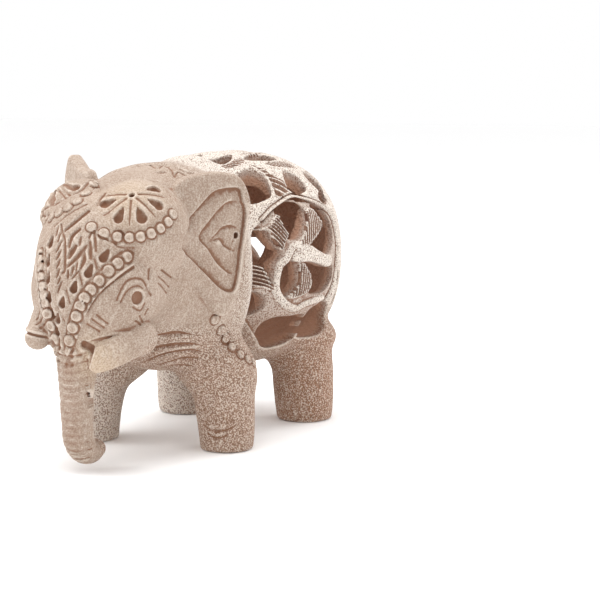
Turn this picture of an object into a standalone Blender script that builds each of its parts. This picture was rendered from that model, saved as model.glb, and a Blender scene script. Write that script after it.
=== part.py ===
# Soapstone elephant with a pierced, hollow body, carved from one block.
# Metres, +Z up. The elephant faces -Y, its left side is +X, and it stands on z = 0.

import math

import bmesh
import bpy
from mathutils import Matrix, Vector
from mathutils.bvhtree import BVHTree

# Driving dimensions
HEIGHT = 0.0805          # floor to the top of the back
WALL = 0.0042            # stone left between the outside and the hollow
BEAD_WIDTH = 0.0032      # carved beads
BEAD_PITCH = 1.12        # in bead widths
HOLE_DEPTH = 0.0018      # gouged holes on the domes and the face
HOLE_WIDTH = 0.0026      # across them
SLIT_WIDTH = 0.0008      # narrow cuts of the chisel
SLIT_DEPTH = 0.0010      # how far they go in
EAR_SINK = 0.0009        # depth of the arcs on the ears
EAR_THICKNESS = 0.0040   # ear at its free edge
SOLE_CUT = 0.0007        # stone rubbed off the feet so that they stand flat
VOXEL = 0.0007           # grain of the blocked-out form before it is faceted
FACETS = 2650            # triangles of the blocked-out form

# The pose and the proportions are shares of the height, 80.5 of them to the whole
SHARE = HEIGHT / 80.5

# Rounded masses of the body: centre, half sizes, and fullness, 2 being a plain ellipsoid
BARREL = ((0, 28, 49.2), (31.5, 33, 31.3), 2.4)
MASSES = (
    BARREL,
    ((0, 3, 54), (17, 25, 26.2), 2),
    ((0, -12.5, 50), (25.8, 19.5, 28.6), 2.5),
    ((0, -26, 54), (21.5, 19, 23.2), 2),
)

# Head sections from the crown down: height, centre along y, half width, half depth
HEAD_SECTIONS = (
    (73, -37, 8, 8),
    (70, -38, 13, 13),
    (63, -39, 16.4, 17.8),
    (55, -40, 17.6, 19.8),
    (48, -41.3, 18.3, 19.6),
    (42, -43.5, 16.8, 17),
    (37, -46.5, 13.5, 12.8),
    (32, -50, 8.5, 8),
)
# Trunk from its root to the curled tip: x, y, z, half width, half depth
TRUNK = (
    (0, -50, 40, 9, 7),
    (0, -53.5, 31, 6.5, 5),
    (0, -54.6, 22, 5, 4.2),
    (0, -54.4, 12, 4.3, 3.9),
    (0, -53, 7, 4.1, 3.8),
    (0, -49.8, 4.9, 3.6, 3.2),
    (0, -46.8, 5.4, 3, 2.6),
)
# Domes on the brow, the left one larger: centre of the rim and rim radius by side
DOMES = {1: ((11, -43.2, 68.2), 11), -1: ((-9.8, -41.5, 69.4), 9)}
DOME_AXIS = (0.25, -0.6, 0.76)
DOME_RISE = 0.5          # as a part of the rim radius
DOME_SPOKES = 7
SPOKE_REACH = (0.16, 0.74)   # slits, as parts of the rim radius
DROP_REACH = 0.62        # holes between the slits

# Tusks: root, tip, root radius, tip radius, one row a side
TUSKS = (
    ((14, -46, 35.5), (7.5, -57, 30.5), 4.6, 2.6),
    ((-14, -45, 40.5), (-10.5, -56.5, 35.5), 4.6, 3.4),
)
# Feet: x, y, sole radius. Where the legs enter the body: height, x, y, half width, half depth
FORE_FEET = ((19.5, -10, 7.4), (-21.5, -14.5, 7.4))
FORE_TOP = ((21, 16.5, -11, 12, 11), (27, 15.3, -11, 10.8, 11), (36, 13.2, -11, 7.2, 7.7))
HIND_FEET = ((19.5, 38.5, 8.3), (-18.5, 33, 8.3))
HIND_TOP = ((21, 17.5, 36, 11, 11), (27, 17.5, 36, 12.2, 12.2), (36, 14, 34, 9, 9))
# Tail, let into the rump: x, y, z, half width, half depth
TAIL = ((0, 57.5, 63, 3, 2.4), (0, 60.2, 50, 2.6, 2.2), (0, 58.4, 36, 2.2, 2.2), (0, 53.5, 26, 3.2, 2.8))

# Ears by side, the left one larger: root and free edge seen from above, and the
# outline on the ear's own plane as distance from the root and height
EARS = {
    1: ((17.5, -33), (30.5, -15), (
        (0, 74), (8.3, 77), (15, 77), (19.6, 75), (21.9, 69), (20.8, 60),
        (19.6, 51), (17.6, 43.5), (13.7, 38.7), (8.8, 42.6), (3.6, 52), (-1, 62))),
    -1: ((-14, -28), (-28, -18.5), (
        (0, 75.5), (5, 77.5), (10, 80), (12.3, 80.5), (14.6, 76.6), (16.4, 70),
        (17, 60), (16, 50), (13, 43), (8, 42), (2, 52), (-1, 62))),
}
EAR_ARCS_WIDTH = 23.7    # width of the ear that the arcs below are drawn for
EAR_ARCS = (
    ((3.5, 60.5), (9, 69.5), (15, 74), (21.2, 72.8), (21.4, 69.8), (15, 70), (9.5, 65.5), (5.5, 60)),
    ((3.5, 57.5), (8, 52), (13, 46.8), (17.6, 43.8), (18.8, 46.4), (14, 50), (9, 54.5), (5.5, 58)),
    ((7.5, 60), (12, 65.5), (17.5, 67.8), (20.8, 66.5), (19.8, 54), (15.5, 51.5), (11, 54.5)),
)

# Rows of beads: on the brow cloth, seen from the front as x and height, and on the
# harness behind the forelegs, seen from the side as along y and height
CLOTH_BEADS = ((14.4, 57.6), (11.1, 53.5), (7.7, 49), (5, 44.6), (3.4, 40.5), (1.6, 36))
HARNESS_BEADS = ((-20.5, 38.5), (-18, 34.5), (-15.5, 31), (-12.5, 28.4), (-9, 27))
DOME_BEADS = 9           # beads along the lower rim of one dome
CLOTH_HOLES = ((9.9, 57.6), (6.9, 54), (4.2, 49.8), (2.4, 45.4))
CLOTH_CUTS = (((1.2, 64), (5.5, 59)), ((1, 59.5), (4.6, 55.2)), ((0.8, 55), (3.2, 51.5)))
CLOTH_HALF = {1: 1, -1: 0.75}    # the right half of the cloth is the narrower one
EYE = (16.2, 46.4)       # x and height, seen from the front
CHEST_CUTS = (33.5, 30.5, 27.5)  # heights of the folds below the neck
CHEST_CUT_CORNERS = (7, 13, 18)  # how far out from the middle each fold bends
CHEST_CUT_CROWN = 10     # where a fold is highest
CHEST_CUT_ARCH = 60      # the larger, the flatter

# Windows of the pierced body, seen square on to its side: along y, and height
SIDE_WINDOWS = (
    ((10.2, 63.4), (12.8, 65.6), (17, 66.2), (20.8, 64.2), (20.6, 61.4), (18, 58.2), (14.2, 57), (11.6, 58)),
    ((26.1, 64.8), (31, 63.4), (34.6, 60.4), (35.7, 56.4), (33, 52), (27.2, 51.7), (21, 54.8),
     (26, 57.6), (28.5, 60), (27, 62.4)),
    ((1.4, 55.8), (3, 58.6), (5, 59.4), (6.8, 57.2), (8.6, 53.2), (7.4, 49), (6.6, 42.9), (4.6, 48.4), (1, 51)),
    ((10, 49.3), (12.2, 49.9), (14.5, 49), (15.2, 45), (13.8, 42), (11, 41), (8.6, 42.8), (8.6, 46.6)),
    ((17.8, 49.3), (24, 48.4), (29.5, 46.8), (33.6, 47.2), (34.6, 44), (30.4, 41), (25, 40.6), (21.2, 41.4),
     (20.8, 45)),
    ((0.6, 40.6), (2, 41.6), (4.6, 40.6), (5.2, 38.4), (3.6, 36.6), (1.4, 36.8)),
    ((7.6, 31.6), (9.4, 33.6), (15, 33.8), (20.8, 33.6), (20.4, 31), (22, 26.8), (17, 24.9), (10.6, 26.2)),
    ((33.4, 36.6), (27.9, 35.6), (23, 34), (22.4, 30.6), (23.6, 27), (30, 27), (35.6, 31)),
    ((31.4, 66.8), (34.4, 68.6), (37, 68), (38.4, 65.8), (35.6, 64.6)),
    ((38.4, 45), (40.6, 44.8), (41.2, 42), (39, 40.6)),
    ((39, 39.4), (41.4, 39), (40.4, 36.2), (37.4, 34.8)),
)
# Windows seen square on to its top: x, and along y
TOP_WINDOWS = (
    ((12.4, 7), (13.6, 13), (17, 14.8), (20.6, 13.6), (22.6, 10.6), (20, 6), (16, 4)),
    ((19.8, 24), (21.6, 27.6), (25.2, 28), (26, 23), (24.8, 18.6), (22, 20.6)),
    ((2.4, 7), (6.8, 9), (7.4, 15), (4.8, 20), (2.4, 14)),
    ((10.2, 18), (13.4, 19.6), (15.4, 25), (13.6, 31.6), (9.6, 30), (8.4, 24)),
    ((2.4, 26), (5.6, 28.4), (6.4, 34.6), (4.2, 40.4), (2.2, 34)),
    ((8.6, 36.6), (13, 36), (17, 38.6), (16, 43.6), (11.6, 46.4), (8, 43)),
    ((21.4, 33.4), (24.8, 33), (26.2, 37), (23.6, 40.8), (20.4, 38.6)),
)
# Windows seen square on to the rump: x, and height
RUMP_WINDOWS = (
    ((3.5, 50), (4.8, 51.8), (9, 51.9), (10.4, 50.6), (9.5, 49.4), (8, 47.4), (5.8, 44.6), (4, 47.8)),
    ((11.4, 46.6), (14, 47.7), (18.5, 47.6), (21.8, 46.4), (20.6, 45.2), (15, 45)),
    ((10, 31.2), (11.4, 33.8), (14, 35.3), (19, 35.6), (15, 34.2), (12.8, 31.6), (11.6, 29.2)),
)
# Two more on the right half only
RIGHT_RUMP_WINDOWS = (
    ((5.6, 60.6), (9, 62.8), (14.6, 62), (18.6, 59.6), (15, 55.8), (9, 56)),
    ((13.4, 65.4), (14.6, 67.4), (17.4, 67.6), (20.4, 65.8), (20, 63.9), (15.5, 63.8)),
)
# How far out from the middle, or up, the window cutters begin and end
SIDE_SPAN = (15, 40)
TOP_SPAN = (62, 90)
RUMP_SPAN = (42, 70)
MOST_OVAL_CORNERS = 7    # a window with more corners keeps them as they are
FAR = 120                # outside everything

STONE_COLOUR = (0.66, 0.54, 0.45, 1)
STONE_ROUGHNESS = 0.85
ROUND = 24               # sides of a turned section


def share(*values):
    """A place given in shares of the height, as metres."""
    return Vector(values) * SHARE


def new_object(name, bm, cutter=False):
    """Link the bmesh as an object; a cutter is a guide and isn't part of the elephant."""
    bmesh.ops.recalc_face_normals(bm, faces=bm.faces)
    mesh = bpy.data.meshes.new(name)
    bm.to_mesh(mesh)
    bm.free()
    piece = bpy.data.objects.new(name, mesh)
    bpy.context.scene.collection.objects.link(piece)
    if cutter:
        piece.hide_render = True
        piece.display_type = "WIRE"
    return piece


def add_full_ellipsoid(bm, centre, radii, fullness, divisions=4):
    """An ellipsoid, squarer than a plain one where fullness is over 2."""
    made = bmesh.ops.create_icosphere(bm, subdivisions=divisions, radius=1)
    for vert in made["verts"]:
        size = sum(abs(value) ** fullness for value in vert.co) ** (1 / fullness)
        shape = vert.co / size
        vert.co = share(*(c + r * s for c, r, s in zip(centre, radii, shape)))


def add_loft(bm, rings):
    """Close a row of equal rings of points into one body."""
    loops = [[bm.verts.new(point) for point in ring] for ring in rings]
    count = len(loops[0])
    for low, high in zip(loops, loops[1:]):
        for i in range(count):
            j = (i + 1) % count
            bm.faces.new((low[i], low[j], high[j], high[i]))
    bm.faces.new(loops[0])
    bm.faces.new(loops[-1])


def smooth_path(rows, steps=4):
    """Rows of numbers read from a Catmull-Rom curve through the given ones."""
    rows = [Vector(row) for row in rows]
    ends = [2 * rows[0] - rows[1]] + rows + [2 * rows[-1] - rows[-2]]
    path = []
    for a, b, c, d in zip(ends, ends[1:], ends[2:], ends[3:]):
        for step in range(steps):
            t = step / steps
            path.append(0.5 * (2 * b + (c - a) * t + (2 * a - 5 * b + 4 * c - d) * t * t
                               + (3 * b - a - 3 * c + d) * t ** 3))
    return path + [rows[-1]]


def closed_outline(corners, steps):
    """The same curve, closed on itself."""
    corners = [Vector(corner) for corner in corners]
    count = len(corners)
    outline = []
    for i in range(count):
        a, b, c, d = (corners[(i + k - 1) % count] for k in range(4))
        for step in range(steps):
            t = step / steps
            outline.append(0.5 * (2 * b + (c - a) * t + (2 * a - 5 * b + 4 * c - d) * t * t
                                  + (3 * b - a - 3 * c + d) * t ** 3))
    return outline


def add_tube(bm, rows):
    """A bent round bar: x, y, z, half width, half depth in each row, with domed ends."""
    path = smooth_path([row[:3] for row in rows])
    sizes = smooth_path([row[3:] for row in rows])
    rings = []
    for i, centre in enumerate(path):
        before = path[max(i - 1, 0)]
        after = path[min(i + 1, len(path) - 1)]
        along = (after - before).normalized()
        across = Vector((1, 0, 0))
        across = (across - along * across.dot(along)).normalized()
        up = along.cross(across)
        rings.append((centre, along, across, up, sizes[i]))
    first, last = rings[0], rings[-1]
    shrink = (0.45, 0.8)
    head = [(first[0] - first[1] * first[4].y * (1 - k), *first[1:4], first[4] * k) for k in shrink]
    tail = [(last[0] + last[1] * last[4].y * (1 - k), *last[1:4], last[4] * k) for k in reversed(shrink)]
    turns = [2 * math.pi * k / ROUND for k in range(ROUND)]
    add_loft(bm, [[share(*(c + x * s.x * math.cos(t) + u * s.y * math.sin(t))) for t in turns]
                  for c, _, x, u, s in head + rings + tail])


def add_head(bm):
    rows = smooth_path(HEAD_SECTIONS)
    turns = [2 * math.pi * k / ROUND for k in range(ROUND)]
    add_loft(bm, [[share(w * math.cos(t), y + d * math.sin(t), z) for t in turns] for z, y, w, d in rows])


def add_leg(bm, foot, top):
    """A leg that flares into the body; it reaches a little below the floor and is cut flat."""
    x, y, sole = foot
    side = math.copysign(1, x)
    top = [(z, side * cx, cy, w, d) for z, cx, cy, w, d in top]
    _, hip_x, hip_y, hip_w, hip_d = top[0]
    top[0] = (top[0][0], hip_x, (y + hip_y) / 2, hip_w, (sole + hip_d) / 2)
    levels = [
        (-SOLE_CUT / SHARE, x, y, sole * 0.97, sole * 0.97),
        (4, x, y, sole * 1.04, sole * 1.04),
        (9, x * 0.98, y, sole * 1.1, sole * 1.06),
        (15, (2 * x + hip_x) / 3, y, (2 * sole + hip_w) / 3, sole * 1.12),
    ] + top
    turns = [2 * math.pi * k / ROUND for k in range(ROUND)]
    add_loft(bm, [[share(cx + rx * math.cos(t), cy + ry * math.sin(t), z) for t in turns]
                  for z, cx, cy, rx, ry in smooth_path(levels)])


def dome_frame(side):
    """Centre of a dome's rim, its radius, its axis, and two directions along the rim."""
    centre, radius = DOMES[side]
    axis = Vector((DOME_AXIS[0] * side, DOME_AXIS[1], DOME_AXIS[2])).normalized()
    down = (Vector((0, 0, -1)) + axis * axis.z).normalized()
    return share(*centre), radius * SHARE, axis, down, axis.cross(down)


def add_dome(bm, side):
    rim, rim_radius, axis, _, _ = dome_frame(side)
    rise = rim_radius * DOME_RISE
    radius = (rim_radius ** 2 + rise ** 2) / (2 * rise)
    centre = rim + axis * (rise - radius)
    bmesh.ops.create_icosphere(bm, subdivisions=4, radius=radius, matrix=Matrix.Translation(centre))


def ear_frame(side):
    """Root of the ear's plane, its direction out to the free edge, and its normal."""
    root, edge, _ = EARS[side]
    root = share(*root, 0)
    out = (share(*edge, 0) - root).normalized()
    return root, out, Vector((out.y, -out.x, 0)) * side


def add_slab(bm, outline, place, depth_from, depth_to, direction):
    """A flat outline, placed by a function, pushed from one depth to another."""
    add_loft(bm, [[place(*corner) + direction * depth for corner in outline]
                  for depth in (depth_from, depth_to)])


def add_ear(bm, side):
    root, out, front = ear_frame(side)
    outline = closed_outline(EARS[side][2], 3)
    add_slab(bm, outline, lambda u, z: root + out * u * SHARE + Vector((0, 0, z * SHARE)),
             -EAR_THICKNESS, 0, front)


def blocked_out_form():
    """Everything solid, joined and worn into one skin."""
    bm = bmesh.new()
    for mass in MASSES:
        add_full_ellipsoid(bm, *mass)
    add_head(bm)
    add_tube(bm, TRUNK)
    add_tube(bm, TAIL)
    for foot in FORE_FEET:
        add_leg(bm, foot, FORE_TOP)
    for foot in HIND_FEET:
        add_leg(bm, foot, HIND_TOP)
    for side in (1, -1):
        add_dome(bm, side)
        add_ear(bm, side)
    for root, tip, thick, thin in TUSKS:
        add_tube(bm, ((*root, thick, thick), (*tip, thin, thin)))
    form = new_object("elephant", bm)
    remesh = form.modifiers.new("one skin", "REMESH")
    remesh.mode = "VOXEL"
    remesh.voxel_size = VOXEL
    remesh.use_smooth_shade = True
    smooth = form.modifiers.new("hand smoothed", "SMOOTH")
    smooth.factor = 0.5
    smooth.iterations = 8
    return form


def apply_modifiers(piece):
    """Keep the mesh that the modifiers give, and drop the modifiers."""
    graph = bpy.context.evaluated_depsgraph_get()
    mesh = bpy.data.meshes.new_from_object(piece.evaluated_get(graph))
    piece.modifiers.clear()
    piece.data = mesh


def facet(piece, target):
    reduce = piece.modifiers.new("facets", "DECIMATE")
    reduce.ratio = target / (2 * len(piece.data.polygons))
    reduce.use_collapse_triangulate = True
    apply_modifiers(piece)


def cast(tree, origin, direction):
    """Where a straight line first meets the blocked-out form, and the way out there."""
    spot, normal, _, _ = tree.ray_cast(origin, direction)
    return spot, normal


def from_front(tree, x, z):
    return cast(tree, share(x, -FAR, z), Vector((0, 1, 0)))


def from_side(tree, side, y, z):
    return cast(tree, share(FAR * side, y, z), Vector((-side, 0, 0)))


def on_dome(tree, side, turn, reach):
    """A place on a dome: a turn about its axis from straight down, and a reach from its middle."""
    rim, _, axis, down, across = dome_frame(side)
    out = down * math.cos(turn) + across * math.sin(turn)
    spot, normal = cast(tree, rim + out * reach + axis * HEIGHT / 8, -axis)
    return spot, normal, out


def even_steps(points, pitch):
    """Points at one pitch along a smooth line."""
    path = smooth_path(points, 8)
    steps = [path[0]]
    for point in path:
        if (point - steps[-1]).length >= pitch:
            steps.append(point)
    return steps


def spots_for_beads(tree):
    pitch = BEAD_WIDTH / SHARE * BEAD_PITCH
    spots = []
    for side in (1, -1):
        half = CLOTH_HALF[side] * side
        spots += [from_front(tree, x * half, z) for x, z in even_steps(CLOTH_BEADS, pitch)]
        spots += [from_side(tree, side, y, z) for y, z in even_steps(HARNESS_BEADS, pitch)]
        reach = dome_frame(side)[1] + 0.6 * SHARE
        for k in range(DOME_BEADS):
            turn = (k - (DOME_BEADS - 1) / 2) * 1.1 * BEAD_WIDTH / reach
            spots.append(on_dome(tree, side, turn, reach)[:2])
    clear = []
    for spot, normal in spots:
        if spot and all((spot - other).length > BEAD_WIDTH for other, _ in clear):
            clear.append((spot, normal))
    return clear


def bead_string(tree):
    bm = bmesh.new()
    for spot, normal in spots_for_beads(tree):
        turn = normal.to_track_quat("Z", "Y").to_matrix().to_4x4()
        bmesh.ops.create_icosphere(bm, subdivisions=1, radius=BEAD_WIDTH / 2,
                                   matrix=Matrix.Translation(spot) @ turn)
    return new_object("beads", bm, cutter=True)


def gouge(spot, normal, along, length, width, depth, sides=6):
    """A drop-shaped cut, round at one end and pointed at the other, square to the surface."""
    along = (along - normal * along.dot(normal)).normalized()
    across = normal.cross(along)
    outline = []
    for k in range(sides):
        turn = 2 * math.pi * k / sides
        reach = width / 2 if k else length - width / 2
        outline.append(along * math.cos(turn) * reach + across * math.sin(turn) * reach)
    bm = bmesh.new()
    add_loft(bm, [[spot + point + normal * rise for point in outline] for rise in (-depth, depth)])
    return new_object("gouge", bm, cutter=True)


def slit(ends, normal, width, depth):
    """A straight narrow cut between two spots."""
    along = (ends[1] - ends[0]).normalized()
    across = normal.cross(along).normalized() * width / 2
    corners = (ends[0] - across, ends[1] - across * 0.4, ends[1] + across * 0.4, ends[0] + across)
    bm = bmesh.new()
    add_loft(bm, [[corner + normal * rise for corner in corners] for rise in (-depth, depth)])
    return new_object("slit", bm, cutter=True)


def fine_cuts(tree):
    """Holes, slits and sunk arcs of the head, neck and ears."""
    cuts = []
    for side in (1, -1):
        radius = dome_frame(side)[1]
        for k in range(DOME_SPOKES):
            turn = 2 * math.pi * k / DOME_SPOKES
            ends = [on_dome(tree, side, turn, radius * reach) for reach in SPOKE_REACH]
            if ends[0][0] and ends[1][0]:
                normal = (ends[0][1] + ends[1][1]).normalized()
                cuts.append(slit([end[0] for end in ends], normal, SLIT_WIDTH, SLIT_DEPTH))
            spot, normal, out = on_dome(tree, side, turn + math.pi / DOME_SPOKES, radius * DROP_REACH)
            if spot:
                cuts.append(gouge(spot, normal, -out, HOLE_WIDTH * 1.8, HOLE_WIDTH, HOLE_DEPTH))
        half = CLOTH_HALF[side] * side
        for x, z in CLOTH_HOLES:
            spot, normal = from_front(tree, x * half, z)
            cuts.append(gouge(spot, normal, Vector((-side, 0, 1)), HOLE_WIDTH, HOLE_WIDTH * 0.8, HOLE_DEPTH))
        for low, high in CLOTH_CUTS:
            ends = [from_front(tree, x * half, z) for x, z in (low, high)]
            cuts.append(slit([end[0] for end in ends], ends[0][1], SLIT_WIDTH, SLIT_DEPTH))
        spot, normal = from_front(tree, EYE[0] * side, EYE[1])
        cuts.append(gouge(spot, normal, Vector((0, 0, 1)), HOLE_WIDTH, HOLE_WIDTH, HOLE_DEPTH))
        for z in CHEST_CUTS:
            spots = [from_front(tree, x * side, z - (x - CHEST_CUT_CROWN) ** 2 / CHEST_CUT_ARCH)
                     for x in CHEST_CUT_CORNERS]
            for one, two in zip(spots, spots[1:]):
                cuts.append(slit((one[0], two[0]), one[1], SLIT_WIDTH, SLIT_DEPTH))
        root, out, front = ear_frame(side)
        width = max(u for u, _ in EARS[side][2]) / EAR_ARCS_WIDTH
        for arc in EAR_ARCS:
            bm = bmesh.new()
            add_slab(bm, closed_outline(arc, 1),
                     lambda u, z: root + out * u * width * SHARE + Vector((0, 0, z * SHARE)),
                     -EAR_SINK, EAR_THICKNESS, front)
            cuts.append(new_object("ear arc", bm, cutter=True))
    return cuts


def window_outline(corners):
    """Few corners are rounded into an oval; a leaf's outline has its own corners."""
    return closed_outline(corners, 1 if len(corners) > MOST_OVAL_CORNERS else 2)


def hollow():
    """The same form as the barrel, smaller by the wall."""
    centre, radii, fullness = BARREL
    bm = bmesh.new()
    add_full_ellipsoid(bm, centre, [radius - WALL / SHARE for radius in radii], fullness, divisions=2)
    return new_object("hollow", bm, cutter=True)


def window(corners, place, span, direction):
    bm = bmesh.new()
    add_slab(bm, window_outline(corners), place, span[0] * SHARE, span[1] * SHARE, direction)
    return new_object("window", bm, cutter=True)


def windows():
    cutters = []
    for side in (1, -1):
        cutters += [window(corners, lambda y, z: share(0, y, z), SIDE_SPAN, Vector((side, 0, 0)))
                    for corners in SIDE_WINDOWS]
        cutters += [window(corners, lambda x, y: share(x * side, y, 0), TOP_SPAN, Vector((0, 0, 1)))
                    for corners in TOP_WINDOWS]
        rump = RUMP_WINDOWS if side == 1 else RUMP_WINDOWS + RIGHT_RUMP_WINDOWS
        cutters += [window(corners, lambda x, z: share(x * side, 0, z), RUMP_SPAN, Vector((0, 1, 0)))
                    for corners in rump]
    return cutters


def boolean(piece, cutter, operation):
    cut = piece.modifiers.new(cutter.name, "BOOLEAN")
    cut.operation = operation
    cut.object = cutter
    cut.solver = "EXACT"
    apply_modifiers(piece)
    bpy.data.objects.remove(cutter)


def sole_cutter():
    bm = bmesh.new()
    size = FAR * 2 * SHARE
    bmesh.ops.create_cube(bm, size=size, matrix=Matrix.Translation((0, 0, -size / 2)))
    return new_object("floor", bm, cutter=True)


def centre_on_floor(piece):
    """The origin goes to the middle of the underside of the whole."""
    low = [min(vert.co[k] for vert in piece.data.vertices) for k in range(2)]
    high = [max(vert.co[k] for vert in piece.data.vertices) for k in range(2)]
    shift = Vector((-(low[0] + high[0]) / 2, -(low[1] + high[1]) / 2, 0))
    piece.data.transform(Matrix.Translation(shift))


def stone():
    material = bpy.data.materials.new("soapstone")
    material.use_nodes = True
    shader = material.node_tree.nodes["Principled BSDF"]
    shader.inputs["Base Color"].default_value = STONE_COLOUR
    shader.inputs["Roughness"].default_value = STONE_ROUGHNESS
    shader.inputs["Metallic"].default_value = 0
    return material


for old in list(bpy.data.objects):
    bpy.data.objects.remove(old)

elephant = blocked_out_form()
apply_modifiers(elephant)
facet(elephant, FACETS)
skin = bmesh.new()
skin.from_mesh(elephant.data)
faces = BVHTree.FromBMesh(skin)
skin.free()
boolean(elephant, bead_string(faces), "UNION")
for tool in fine_cuts(faces) + [hollow()] + windows() + [sole_cutter()]:
    boolean(elephant, tool, "DIFFERENCE")
centre_on_floor(elephant)
elephant.data.materials.clear()
elephant.data.materials.append(stone())
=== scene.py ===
import math

import bmesh
import bpy
import numpy as np
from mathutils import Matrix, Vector


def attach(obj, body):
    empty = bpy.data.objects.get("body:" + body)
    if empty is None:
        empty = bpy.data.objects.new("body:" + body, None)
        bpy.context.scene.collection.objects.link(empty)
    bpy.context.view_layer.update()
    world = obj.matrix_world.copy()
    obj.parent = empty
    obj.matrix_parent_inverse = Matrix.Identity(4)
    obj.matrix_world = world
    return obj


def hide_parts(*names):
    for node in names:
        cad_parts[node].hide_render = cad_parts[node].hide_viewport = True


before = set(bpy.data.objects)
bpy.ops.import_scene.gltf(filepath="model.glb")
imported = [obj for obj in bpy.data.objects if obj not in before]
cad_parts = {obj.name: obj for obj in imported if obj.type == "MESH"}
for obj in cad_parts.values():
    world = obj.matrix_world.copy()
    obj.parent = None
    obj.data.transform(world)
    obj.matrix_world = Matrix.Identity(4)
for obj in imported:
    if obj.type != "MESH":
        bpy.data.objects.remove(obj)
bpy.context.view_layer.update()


# The block of soapstone that the whole elephant is carved from. It is held on an even
# grid as distances from the stone's surface, in millimetres and below zero inside. Each
# section below adds one part of the form to it, or cuts one kind of carving into it.
GRAIN = 0.3              # spacing of the grid
BLOCK_LOW = (-33.4, -64.0, -1.2)
BLOCK_HIGH = (33.4, 65.0, 82.4)


def soft_least(one, other, blend):
    """The smaller of two distances, rounded off where they are nearly equal."""
    least = np.minimum(one, other)
    if blend:
        near = np.maximum(blend - np.abs(one - other), 0)
        least = least - near * near / (4 * blend)
    return least


def bar_distance(x, y, z, a, b, ra, rb):
    """Distance from a round bar between two places, with its radius at each."""
    along = b - a
    t = ((x - a[0]) * along[0] + (y - a[1]) * along[1] + (z - a[2]) * along[2]) / max(along @ along, 1e-9)
    t = np.clip(t, 0, 1)
    reach = np.sqrt((x - a[0] - t * along[0]) ** 2 + (y - a[1] - t * along[1]) ** 2
                    + (z - a[2] - t * along[2]) ** 2)
    return reach - (ra + (rb - ra) * t)


class Block:
    def __init__(self, low, high, grain):
        self.low = np.array(low, float)
        self.grain = grain
        self.size = np.ceil((np.array(high) - self.low) / grain).astype(int) + 1
        self.field = np.full(self.size, 12, np.float32)

    def region(self, low, high):
        """The part of the grid between two corners, and its coordinates."""
        first = np.floor((np.array(low) - self.low) / self.grain).astype(int).clip(0, self.size - 1)
        last = np.ceil((np.array(high) - self.low) / self.grain).astype(int) + 1
        last = np.clip(last, first + 1, self.size)
        x, y, z = ((start + self.grain * np.arange(a, b)).astype(np.float32)
                   for start, a, b in zip(self.low, first, last))
        return tuple(map(slice, first, last)), x[:, None, None], y[None, :, None], z[None, None, :]

    def add(self, low, high, shape, blend):
        part, *grid = self.region(low, high)
        self.field[part] = soft_least(self.field[part], shape(*grid), blend)

    def cut(self, low, high, shape, blend):
        part, *grid = self.region(low, high)
        self.field[part] = -soft_least(-self.field[part], shape(*grid), blend)

    def bar(self, points, radii):
        """Distances from a round bar of changing thickness, and the part of the grid that it lies in."""
        points = np.array(points, float)
        radii = np.broadcast_to(radii, len(points))
        pad = radii.max() + 4 * self.grain
        part, x, y, z = self.region(points.min(0) - pad, points.max(0) + pad)
        near = np.full((x.size, y.size, z.size), pad, np.float32)
        corner = np.array([side.start for side in part])
        for a, b, ra, rb in zip(points, points[1:], radii, radii[1:]):
            low, high = np.minimum(a, b) - pad, np.maximum(a, b) + pad
            here, x, y, z = self.region(low, high)
            place = tuple(slice(side.start - c, side.stop - c) for side, c in zip(here, corner))
            near[place] = np.minimum(near[place], bar_distance(x, y, z, a, b, ra, rb))
        return part, near

    def lay(self, points, radii, blend):
        part, near = self.bar(points, radii)
        self.field[part] = soft_least(self.field[part], near, blend)

    def groove(self, points, half, blend=0.1, ends=None):
        """A round cut, given its half width, or one that is narrower towards both ends."""
        if ends is not None:
            half = half * np.sin(np.linspace(ends, math.pi - ends, len(points)))
        if len(points) > 1:
            part, near = self.bar(points, half)
            self.field[part] = -soft_least(-self.field[part], near, blend)

    def read(self, points, field=None):
        """The field at any places, from the eight grid points round each."""
        field = self.field if field is None else field
        place = (np.asarray(points, float) - self.low) / self.grain
        first = np.clip(np.floor(place).astype(int), 0, np.array(field.shape) - 2)
        part = np.clip(place - first, 0, 1)
        total = 0
        for corner in np.ndindex(2, 2, 2):
            share = np.where(corner, part, 1 - part).prod(-1)
            total = total + share * field[tuple(np.moveaxis(first + corner, -1, 0))]
        return total

    def meet(self, start, way):
        """Where a straight line first meets the stone."""
        travel = np.arange(0, 110, self.grain / 2)
        points = np.array(start, float) + np.outer(travel, way)
        values = self.read(points)
        inside = np.flatnonzero(values < 0)
        if not len(inside) or not inside[0]:
            return None
        k = inside[0]
        return points[k - 1] + (points[k] - points[k - 1]) * values[k - 1] / (values[k - 1] - values[k])

    def outward(self, spot):
        """The direction straight out of the stone at a spot."""
        probes = np.concatenate([np.eye(3), -np.eye(3)]) * 2 * self.grain + spot
        values = self.read(probes)
        slope = values[:3] - values[3:]
        return slope / max(np.linalg.norm(slope), 1e-6)


block = Block(BLOCK_LOW, BLOCK_HIGH, GRAIN)


# The rounded masses of the body: the barrel, the back, the shoulders and the neck, sawn
# and rasped from the block as one. They run into each other with no edge.
BARREL = ((0, 28, 49.2), (31.5, 33, 31.3), 2.4)
MASSES = (
    (BARREL, 0),
    (((0, 3, 54), (17, 25, 26.2), 2), 3),
    (((0, -12.5, 50), (25.8, 19.5, 28.6), 2.5), 3),
    (((0, -26, 54), (21.5, 19, 23.2), 2), 3),
)


def full_ellipsoid(centre, radii, fullness):
    """An ellipsoid, squarer than a plain one where fullness is over 2."""
    def shape(x, y, z):
        parts = [np.abs(value - c) / r + 1e-4 for value, c, r in zip((x, y, z), centre, radii)]
        total = sum(part ** fullness for part in parts)
        slope = np.sqrt(sum((part ** (fullness - 1) / r) ** 2 for part, r in zip(parts, radii)))
        size = total ** (1 / fullness)
        return (size - 1) * size ** (fullness - 1) / slope
    return shape


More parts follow.
